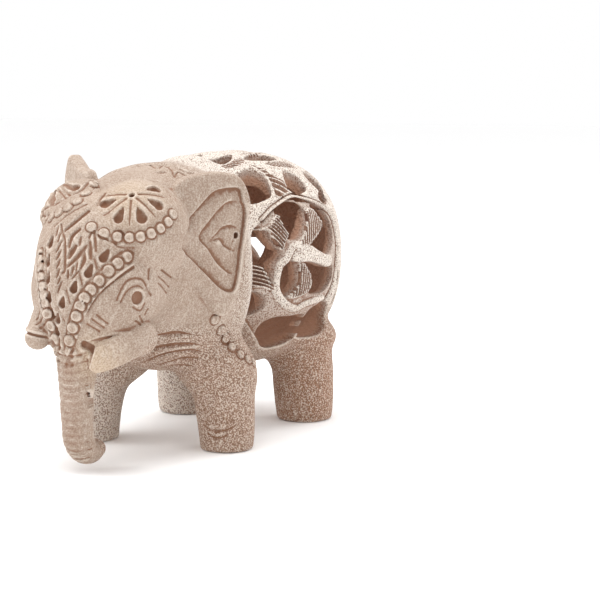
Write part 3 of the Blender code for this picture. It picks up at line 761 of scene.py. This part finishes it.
# Cross ribs down the trunk, with two fine cuts between each pair of deep ones, and a
# groove down each side of it.
CUTS_PER_RIB = 3
TRUNK_CUT_PITCH = 2.1 / CUTS_PER_RIB
TRUNK_GROOVE = ((5.8, -50.5, 30), (5, -52, 24), (4.5, -52.6, 17), (4.3, -52.3, 11), (4.1, -51, 7))
for height in np.arange(4, 32, TRUNK_CUT_PITCH):
    row = spots(front, [(px, height + 0.05 * px * px) for px in np.linspace(-5, 5, 13)])
    deep = round(height / TRUNK_CUT_PITCH) % CUTS_PER_RIB == 0
    block.groove(row + (0, 0.1, 0), 0.55 if deep else 0.33, 0.12, ends=0.5)
for side in (1, -1):
    block.groove(settled(TRUNK_GROOVE, side), 0.55, 0.2)


# Folds of skin under the neck and across the chest, five arcs on each side. They are cut
# with a round chisel and run out thin at both ends.
NECK_FOLDS = (    # half width in the middle, then places on the left side
    (0.65, (9, -31, 33.8), (10.2, -29.6, 34), (14.6, -27.5, 34.3), (18.1, -25.1, 33.8)),
    (0.65, (5, -27.8, 29), (7, -27.6, 29.7), (12.3, -26.8, 30.7), (16.6, -24.6, 31), (18.6, -22.1, 30.6)),
    (0.55, (0.9, -23.9, 24.8), (6.9, -25.8, 27.2), (11.5, -25.6, 28.6), (15.9, -23.4, 29.2),
     (18.1, -21.3, 28.6)),
    (0.5, (3.2, -22.3, 23.8), (8.3, -23.4, 25.2), (12, -23.2, 26.5), (15.2, -22.2, 27),
     (18.1, -21.4, 27)),
    (0.35, (4.3, -20, 22.7), (9, -21.4, 24.2), (12.7, -21.2, 24.6), (16.9, -21.2, 24.3)),
)
for side in (1, -1):
    for half, fold in [(half, settled(places, side)) for half, *places in NECK_FOLDS]:
        block.groove(fold, half + 0.1, 0.15, ends=0.3)


# The hem of the cloth that lies over the back. It ends on the nape in scallops, cut as one
# line, with a few hollows in the cloth behind it.
HEM = ((0, -17, 78.2), (3.6, -19.6, 77.5), (3.8, -17, 78.2), (6.1, -17.5, 77.8), (8.3, -19.4, 76.9),
       (10.3, -21.5, 75.4), (9.9, -19.2, 76.5), (13, -19.2, 75.4), (15.4, -20.6, 73))
NAPE_HOLLOWS = (    # half width, then places on the left side
    (0.9, (7.3, -16.6, 77.6), (11.1, -17, 76.5), (13, -15.8, 76.1)),
    (0.8, (5.7, -23.4, 76.1), (6.4, -21.8, 76.2), (7.3, -20.9, 76.5)),
    (0.8, (0.8, -13.6, 79), (3.6, -14.4, 78.8), (5.6, -13.4, 78.9)),
)
for side in (1, -1):
    hem = settled(HEM, side, 4)
    hollows = [(half, settled(places, side)) for half, *places in NAPE_HOLLOWS]
    block.groove(hem, 0.45)
    for half, row in hollows:
        block.groove(row, half, ends=0.5)


# The carving of the tail. It stands between two long cuts, and slanting cuts at its lower
# end are the hair of its tuft.
TAIL_HALF_WIDTH = 3.1
TUFT_PITCH = 1.6


def rear(x, z):
    return block.meet((x, 64.8, z), (0, -1, 0))


for side in (1, -1):
    long_cut = [(side * TAIL_HALF_WIDTH, height) for height in np.linspace(29, 66, 24)]
    block.groove(spots(rear, long_cut), 0.75, 0.3)
    tufts = [spots(rear, [(0.3 * side, height), (1.4 * side, height + 1.3), (2.5 * side, height + 2.9)])
             for height in np.arange(27, 37, TUFT_PITCH)]
    for tuft in tufts:
        block.groove(tuft, NICK)


# The harness: a row of beads from behind each ear down to the belly, each one left
# standing in a ring that is cut round it.
HARNESS = ((22.6, -21.8, 37.7), (22.6, -18.6, 34.5), (22.4, -15.7, 31.8), (23.9, -14.6, 29.4),
           (25.4, -13, 27.2), (26.7, -10.8, 25.6), (27, -8.2, 24.6))
for side in (1, -1):
    for pearl in settle(np.array(HARNESS) * (side, 1, 1)):
        bead(pearl, PEARL)


# Arcs on the ears: two chevrons of sunk fields, each deepest along its outer edge, round
# a curl with a small hole. The ear's free edge is left standing as a thin rim.
EAR_WIDTH = 21.9
OUTER_CHEVRON = ((-1.8, 59.3), (3.4, 65), (8.7, 70.3), (11.5, 72.4), (15.5, 73), (18.6, 72.6), (19.4, 69.6),
                 (20.4, 66), (19.9, 61), (18.9, 56), (18.1, 50), (16.6, 45.3), (13.1, 46), (8.4, 50.4),
                 (2.8, 55.4))
INNER_CHEVRON = ((6.6, 60.2), (9.6, 64.4), (13, 67.9), (15.5, 69.4), (18.6, 69.4), (20.2, 67.6), (19.9, 62),
                 (18.8, 56), (18.2, 51.4), (16.6, 49.8), (14.7, 50.5), (11.7, 53.2), (9.2, 56.9))
CURL = ((9, 58.4), (11.7, 61), (13.3, 62.6), (16, 63.1), (18.4, 62), (19.3, 59.6), (18.8, 56.8), (16.6, 56),
        (13.8, 57.5), (12.4, 59.2))
CURL_HOLE = (17.6, 60.2)
EAR_STEPS = ((OUTER_CHEVRON, 3.6), (INNER_CHEVRON, 5), (CURL, 2.6))    # outline, width of the slope
EAR_SINK = 1.2
ear_shade = np.zeros_like(block.field)    # where the ears are sunk, for painted shade in the sunk fields
for side, (_, _, corners) in EARS.items():
    root, out, facing = ear_frame(side)
    width = curve(corners, 4, closed=True)[:, 0].max() / EAR_WIDTH
    part, x, y, z = block.region(*ear_space(root, out, (4, 5), 38, 80))
    u = along(x, y, root, out) / width
    depth = along(x, y, root, facing)
    sunk = 0
    for step, slope in EAR_STEPS:
        inside = -edge_distance(u, z, step)
        within = ramp(inside, -0.15, 0.15)
        sunk = sunk * (1 - within) + EAR_SINK * within * (1 - 0.8 * np.clip(inside / slope, 0, 1))
    sunk = (sunk * ramp(depth, -2.4, -1.6)).astype(np.float32)
    block.field[part] += sunk
    solid_form[part] += 0.7 * sunk
    ear_shade[part] = np.maximum(ear_shade[part], sunk / EAR_SINK)
    hole = np.array([*(root + out * CURL_HOLE[0] * width), CURL_HOLE[1]])
    through = np.array([*facing, 0])
    block.groove([hole + through, hole - through * 2], 0.85, 0.2)
    block.groove([hole - through * 0.4, hole - through * 0.3 + (*(-out * 1.4), -2)], 0.4, 0.2)


# Toenails of the forefeet: two crescents cut on the front of each, one under the other,
# and no more than a chisel's width deep.
for x, y, sole in FORE_FEET:
    upper = spots(front, [(x + dx, 6.2 + 0.07 * (dx - 1) ** 2) for dx in np.linspace(-3.6, 5.4, 9)])
    lower = spots(front, [(x + dx, 4.4 + 0.12 * (dx - 1) ** 2) for dx in np.linspace(-1.8, 3.8, 7)])
    block.groove(upper, np.interp(np.linspace(0, 1, len(upper)), (0, 0.5, 1), (0.3, 0.75, 0.3)), 0.3)
    block.groove(lower, 0.45, 0.3)


# The hand-worked skin of the stone. Nothing on it is quite even: it rises and falls by a
# tenth of a millimetre or so.
UNEVEN_HEIGHT = 0.09
UNEVEN_SPACING = 5       # from one rise to the next
rng = np.random.default_rng(11)


def unevenness(spacing):
    """Smooth random heights over the block."""
    counts = [int(n * GRAIN / spacing) + 2 for n in block.size]
    heights = rng.standard_normal(counts).astype(np.float32)
    for axis, (n, count) in enumerate(zip(block.size, counts)):
        place = np.arange(n) * (count - 1.001) / n
        first = place.astype(int)
        part = ramp(place - first, 0, 1).astype(np.float32)
        spread = np.zeros((n, count), np.float32)
        spread[np.arange(n), first] = 1 - part
        spread[np.arange(n), first + 1] = part
        heights = np.moveaxis(np.tensordot(spread, heights, (1, axis)), 0, axis)
    return heights


block.field += UNEVEN_HEIGHT * unevenness(UNEVEN_SPACING)

# The soles are rubbed flat, so that the elephant stands level.
part, x, y, z = block.region((-34, -64, -1.2), (34, 64, 3))
block.field[part] = np.maximum(block.field[part], -z)


# The stone's skin as one mesh. Each grid cell that the surface passes through gets one
# point, in the middle of the places where the surface crosses its edges.
CAD_SHIFT = -0.29        # the drawn middle of the body lies this far from the middle of its length
MOST_FACES = 196000


def skin_of(field):
    inside = field < 0
    corners = list(np.ndindex(2, 2, 2))
    cells = tuple(n - 1 for n in field.shape)
    count = sum(inside[i:cells[0] + i, j:cells[1] + j, k:cells[2] + k].astype(np.uint8)
                for i, j, k in corners)
    active = np.flatnonzero((count > 0) & (count < 8))
    cell = np.stack(np.unravel_index(active, cells), 1)
    values = {c: field[cell[:, 0] + c[0], cell[:, 1] + c[1], cell[:, 2] + c[2]] for c in corners}
    total = np.zeros((len(cell), 3))
    crossings = np.zeros(len(cell))
    for a in corners:
        for axis in range(3):
            if a[axis]:
                continue
            b = tuple(1 if k == axis else a[k] for k in range(3))
            crossed = (values[a] < 0) != (values[b] < 0)
            part = np.where(crossed, values[a] / np.where(crossed, values[a] - values[b], 1), 0)
            place = np.tile(np.array(a, float), (len(cell), 1))
            place[:, axis] = part
            total += place * crossed[:, None]
            crossings += crossed
    points = cell + total / crossings[:, None]
    quads = []
    for axis in range(3):
        low = [slice(1, -1)] * 3
        high = [slice(1, -1)] * 3
        low[axis], high[axis] = slice(0, -1), slice(1, None)
        one, other = inside[tuple(low)], inside[tuple(high)]
        for flip in (False, True):
            edges = np.stack(np.nonzero((one & ~other) if flip else (~one & other)), 1)
            edges += [0 if k == axis else 1 for k in range(3)]
            p, q = (axis + 1) % 3, (axis + 2) % 3
            ring = []
            for dp, dq in ((-1, -1), (0, -1), (0, 0), (-1, 0)):
                near = edges.copy()
                near[:, p] += dp
                near[:, q] += dq
                ring.append(np.searchsorted(active, np.ravel_multi_index(near.T, cells)))
            quads.append(np.stack(ring if not flip else ring[::-1], 1))
    return points, np.concatenate(quads)


def to_metres(points):
    return ((points + (0, CAD_SHIFT, 0)) * 0.001).ravel()


def stone_mesh(points, faces):
    """A mesh of equal-sided faces on the points, given in millimetres of the drawing."""
    made = bpy.data.meshes.new("soapstone_elephant")
    sides = faces.shape[1]
    made.vertices.add(len(points))
    made.vertices.foreach_set("co", to_metres(points))
    made.loops.add(faces.size)
    made.loops.foreach_set("vertex_index", faces.ravel().astype(np.int32))
    made.polygons.add(len(faces))
    made.polygons.foreach_set("loop_start", np.arange(0, faces.size, sides, dtype=np.int32))
    made.polygons.foreach_set("loop_total", np.full(len(faces), sides, np.int32))
    made.update(calc_edges=True)
    made.validate()
    return made


def of_points(made, name):
    """The places or the normals of a mesh's points."""
    values = np.empty(3 * len(made.vertices))
    made.vertices.foreach_get(name, values)
    return values.reshape(-1, 3)


def drawn_places(made):
    """The mesh's points, back in millimetres of the drawing."""
    return of_points(made, "co") * 1000 - (0, CAD_SHIFT, 0)


points, quads = skin_of(block.field)
points = points * GRAIN + block.low
mesh = stone_mesh(points, quads[:, ::-1])

# The comb cuts of the leaves are finer than the grid, so their ground is divided once
# more before they are cut.
COMB_REACH = 1.3         # the cuts stay this close to the uncut form
middles = points[quads].mean(1)
combed = (hatching(*middles.T) > 0.01) | (hatching(*(middles + 0.3).T) > 0.01)
combed &= block.read(middles, solid_form) > -COMB_REACH
skin = bmesh.new()
skin.from_mesh(mesh)
skin.faces.ensure_lookup_table()
skin.edges.ensure_lookup_table()
chosen = {edge.index for k in np.flatnonzero(combed) for edge in skin.faces[k].edges}
bmesh.ops.subdivide_edges(skin, edges=[skin.edges[k] for k in sorted(chosen)], cuts=1, use_grid_fill=True)
skin.normal_update()
skin.to_mesh(mesh)
skin.free()
where = drawn_places(mesh)
normals = of_points(mesh, "normal")
near_form = ramp(block.read(where, solid_form), -COMB_REACH, -COMB_REACH + 0.5)
where -= normals * (hatching(*where.T) * near_form)[:, None]
mesh.vertices.foreach_set("co", to_metres(where))
mesh.update()

elephant = bpy.data.objects.new("soapstone_elephant", mesh)
bpy.context.scene.collection.objects.link(elephant)
reduce = elephant.modifiers.new("fewer faces", "DECIMATE")
reduce.ratio = MOST_FACES / (2 * len(mesh.polygons))
reduce.use_collapse_triangulate = True
graph = bpy.context.evaluated_depsgraph_get()
mesh = bpy.data.meshes.new_from_object(elephant.evaluated_get(graph))
elephant.modifiers.clear()
elephant.data = mesh
mesh.polygons.foreach_set("use_smooth", np.ones(len(mesh.polygons), bool))


# What the painted shade and highlights follow: how deep a place lies in a cut, and how far
# inside the hollow. Both are measured on the block and kept on the mesh.
def blurred(filled, reach):
    """How full the stone is within a reach of each grid point, 0 to 1. The block's sides are air."""
    for axis, n in enumerate(filled.shape):
        total = np.cumsum(filled, axis=axis, dtype=np.float32)
        high, low = (np.take(total, np.arange(n) + shift, axis, mode="clip")
                     for shift in (reach, -reach - 1))
        filled = (high - low) / (2 * reach + 1)
    return filled


where = drawn_places(mesh)
x, y, z = where.T
filled = (block.field < 0).astype(np.float32)
under = np.maximum(-block.read(where, solid_form), 0)
TUSK_TIP, DOME_TOP = (7.8, -56.6, 30.8), (11, -46, 71)
smooth = np.maximum(ramp(z, 33, 38) * ramp(y, -13, -18), ramp(y, -46, -49.5))
# Painted shade: browner on the lower body, the legs and the lower rump, where less light falls, and
# stronger on the near side.
painted_low_shade = 0.5 * ramp(z, 38, 28) * ramp(y, -50, -46) + 0.5 * ramp(y, 18, 34) * ramp(z, 34, 24)
# Painted light: paler on the top of the body behind the shoulders and on the lower far legs, where the
# light falls on them.
painted_light = np.maximum(ramp(y, -12, -2) * ramp(z, 30, 40), 0.6 * ramp(x, -8, -16) * ramp(z, 30, 20))
polished = np.maximum(np.exp(-((where - TUSK_TIP) ** 2).sum(1) / 30),
                      0.6 * np.exp(-((where - DOME_TOP) ** 2).sum(1) / 60))
for name, values in (
    ("cut", block.read(where, blurred(filled, 2))),
    ("recess", block.read(where, blurred(filled, 8))),
    ("inside", under),
    ("comb", hatching(x, y, z) / CUT_DEPTH * ramp(under, COMB_REACH + 0.6, COMB_REACH)),
    ("smooth", smooth),
    ("painted_low_shade", painted_low_shade * ramp(x, -24, 6)),
    ("painted_light", painted_light),
    ("ear_shade", block.read(where, ear_shade)),
    ("polished", polished),
):
    attribute = mesh.attributes.new(name, "FLOAT", "POINT")
    attribute.data.foreach_set("value", np.asarray(values, np.float32))


# Soapstone, dry and unpolished: pale pinkish cream with a fine rasped grain. Painted light pales
# the top of the body and the far legs; painted shade browns the lower body and legs, the sunk ear
# fields, the cuts and the hollow; painted highlights lighten raised edges.
class Wire:
    """A socket of the stone's shader, so that its sums can be written as Python."""
    def __init__(self, nodes, socket):
        self.nodes = nodes
        self.socket = socket

    def sum(self, operation, other):
        return self.nodes.make("ShaderNodeMath", {"operation": operation}, {0: self, 1: other})

    def __add__(self, other):
        return self.sum("ADD", other)

    def __mul__(self, other):
        return self.sum("MULTIPLY", other)

    def __rsub__(self, other):
        return (self * -1) + other

    __radd__ = __add__
    __rmul__ = __mul__

    def ramp(self, start, end, low=0, high=1):
        """low at start, high at end, and never outside them."""
        return self.nodes.make("ShaderNodeMapRange", {"interpolation_type": "SMOOTHSTEP"},
                               {0: self, 1: start, 2: end, 3: low, 4: high})


class Nodes:
    def __init__(self, material):
        self.tree = material.node_tree

    def make(self, kind, settings=None, sockets=None, output=0):
        node = self.tree.nodes.new(kind)
        for name, value in (settings or {}).items():
            setattr(node, name, value)
        for key, value in (sockets or {}).items():
            if isinstance(value, Wire):
                self.tree.links.new(value.socket, node.inputs[key])
            else:
                node.inputs[key].default_value = value
        return Wire(self, node.outputs[output])

    def mix(self, share, one, other):
        """One colour turned into another by a share."""
        return self.make("ShaderNodeMix", {"data_type": "RGBA"}, {0: share, 6: one, 7: other}, output=2)


stone = bpy.data.materials.new("soapstone")
stone.use_nodes = True
nodes = Nodes(stone)
shader = stone.node_tree.nodes["Principled BSDF"]
place = nodes.make("ShaderNodeTexCoord", output="Object")


def grain(scale, detail=3.0, rough=0.55, at=place):
    return nodes.make("ShaderNodeTexNoise", None,
                      {"Vector": at, "Scale": scale, "Detail": detail, "Roughness": rough}, output="Fac")


cloud = grain(60)
speck = grain(2700, 0.0, 0.6)
patch = grain(500, 3.0, 0.6)
fleck = nodes.make("ShaderNodeTexVoronoi", {"feature": "F1"}, {"Vector": place, "Scale": 1000.0},
                   output="Distance")
strokes = nodes.make("ShaderNodeMapping", None,
                     {"Vector": place, "Rotation": (0.9, 0.3, 0.5), "Scale": (1, 4, 0.6)})
stroke = grain(600, 1.0, 0.5, strokes)
cut, recess, inside, comb_cut, smooth, painted_low_shade, painted_light, ear_shade, polished = (
    nodes.make("ShaderNodeAttribute", {"attribute_name": name}, output="Fac") for name in
    ("cut", "recess", "inside", "comb", "smooth", "painted_low_shade", "painted_light", "ear_shade", "polished"))

# the colour of painted shade
SHADE_BROWN = (0.21, 0.095, 0.05)
# pale flecks of the stone, and also painted highlight on raised edges
DUST_AND_HIGHLIGHT = (0.76, 0.67, 0.58)
colour = nodes.mix(cloud.ramp(0.35, 0.65), (0.415, 0.322, 0.258, 1), (0.35, 0.26, 0.2, 1))
for share, tint in (    # each coat covers a share of those before it
    # painted light on the top of the body and the far legs
    (painted_light, (0.72, 0.65, 0.585)),
    # painted shade on the lower body and legs
    (painted_low_shade, (0.30, 0.152, 0.088)),
    # painted shade in the sunk fields of the ears
    (ear_shade * 0.4, (0.26, 0.16, 0.105)),
    (polished * 0.7, (0.60, 0.46, 0.32)),
    (patch.ramp(0.55, 0.7, 0, 0.3), (0.26, 0.15, 0.10)),
    (stroke.ramp(0.53, 0.68, 0, 0.3), (0.62, 0.54, 0.46)),
    (speck.ramp(0.52, 0.66, 0, 0.85) * (1 - smooth * 0.6), (0.20, 0.11, 0.07)),
    (speck.ramp(0.48, 0.34, 0, 0.55) * (1 - smooth * 0.7), DUST_AND_HIGHLIGHT),
    # painted highlight on raised edges beside the cuts
    (cut.ramp(0.43, 0.33, 0, 0.45), DUST_AND_HIGHLIGHT),
    # painted shade in the cuts
    (cut.ramp(0.53, 0.62, 0, 0.85), SHADE_BROWN),
    # painted shade in wider recesses
    (recess.ramp(0.56, 0.8, 0, 0.5), SHADE_BROWN),
    # painted shade below the uncut form, in the windows and the hollow
    (inside.ramp(0.25, 1.0, 0, 0.6), SHADE_BROWN),
    # painted shade in the comb cuts of the leaves
    (comb_cut.ramp(0.45, 0.75, 0, 0.85), (0.10, 0.035, 0.018)),
    # warm painted shade deep in the hollow
    (inside.ramp(1.0, 3.2, 0, 0.85), (0.42, 0.22, 0.135)),
):
    colour = nodes.mix(share, colour, (*tint, 1))

rasp = grain(1700, 2.0)
height = rasp * 0.6 + fleck * 0.5
bump = nodes.make("ShaderNodeBump", None,
                  {"Strength": 0.9, "Distance": 0.0008, "Height": height * (1 - smooth * 0.7)})
stone.node_tree.links.new(colour.socket, shader.inputs["Base Color"])
stone.node_tree.links.new(bump.socket, shader.inputs["Normal"])
shader.inputs["Roughness"].default_value = 0.82
shader.inputs["Metallic"].default_value = 0
elephant.data.materials.clear()
elephant.data.materials.append(stone)

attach(elephant, "root")
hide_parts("elephant")


# The studio: a plain pale floor, soft light from above and the left, and the camera
# where the photograph was taken from.
floor_mesh = bpy.data.meshes.new("floor")
floor_mesh.from_pydata([(-3, -3, 0), (3, -3, 0), (3, 3, 0), (-3, 3, 0)], [], [(0, 1, 2, 3)])
floor = bpy.data.objects.new("floor", floor_mesh)
bpy.context.scene.collection.objects.link(floor)
paper = bpy.data.materials.new("white_paper")
paper.use_nodes = True
sheet = paper.node_tree.nodes["Principled BSDF"]
sheet.inputs["Base Color"].default_value = (0.99, 0.99, 0.99, 1)
sheet.inputs["Roughness"].default_value = 0.9
floor_mesh.materials.append(paper)

world = bpy.data.worlds.new("studio")
bpy.context.scene.world = world
world.use_nodes = True
air = world.node_tree.nodes["Background"]
air.inputs["Color"].default_value = (1, 1, 1, 1)
air.inputs["Strength"].default_value = 1.0
bpy.context.scene.view_settings.view_transform = "Standard"
BODY_MIDDLE = Vector((0, 0, 0.04))


def lamp(name, place, size, power):
    light = bpy.data.lights.new(name, "AREA")
    light.size = size
    light.energy = power
    holder = bpy.data.objects.new(name, light)
    holder.location = place
    holder.rotation_euler = (BODY_MIDDLE - Vector(place)).to_track_quat("-Z", "Y").to_euler()
    bpy.context.scene.collection.objects.link(holder)


lamp("overhead", (-0.05, -0.1, 0.8), 0.5, 4)
lamp("left", (-0.6, -0.25, 0.35), 0.3, 1.2)
lamp("right_edge", (0.4, 0.55, 0.3), 0.3, 1.5)

CAMERA_TURN = math.radians(30)
CAMERA_TILT = math.radians(7.2)
CAMERA_DISTANCE = 0.5
CAMERA_TARGET = Vector((0, 0.0047, 0.04))
TARGET_PIXEL = (191.2, 294.4)
PIXELS_PER_RADIAN = 1740
PICTURE_WIDTH = 600
SENSOR_WIDTH = 36
level = math.cos(CAMERA_TILT)
toward = Vector((math.sin(CAMERA_TURN) * level, -math.cos(CAMERA_TURN) * level, math.sin(CAMERA_TILT)))
right = Vector((math.cos(CAMERA_TURN), math.sin(CAMERA_TURN), 0))
up = toward.cross(right)
station = CAMERA_TARGET + toward * CAMERA_DISTANCE
scale = CAMERA_DISTANCE / PIXELS_PER_RADIAN
half = PICTURE_WIDTH / 2
aim = CAMERA_TARGET + right * ((half - TARGET_PIXEL[0]) * scale) + up * ((TARGET_PIXEL[1] - half) * scale)
lens = bpy.data.cameras.new("camera")
lens.sensor_width = SENSOR_WIDTH
lens.lens = PIXELS_PER_RADIAN * SENSOR_WIDTH / PICTURE_WIDTH
lens.clip_start = 0.01
camera = bpy.data.objects.new("camera", lens)
camera.location = station + Vector((0, CAD_SHIFT * 0.001, 0))
camera.rotation_euler = (aim - station).to_track_quat("-Z", "Y").to_euler()
bpy.context.scene.collection.objects.link(camera)
bpy.context.scene.camera = camera
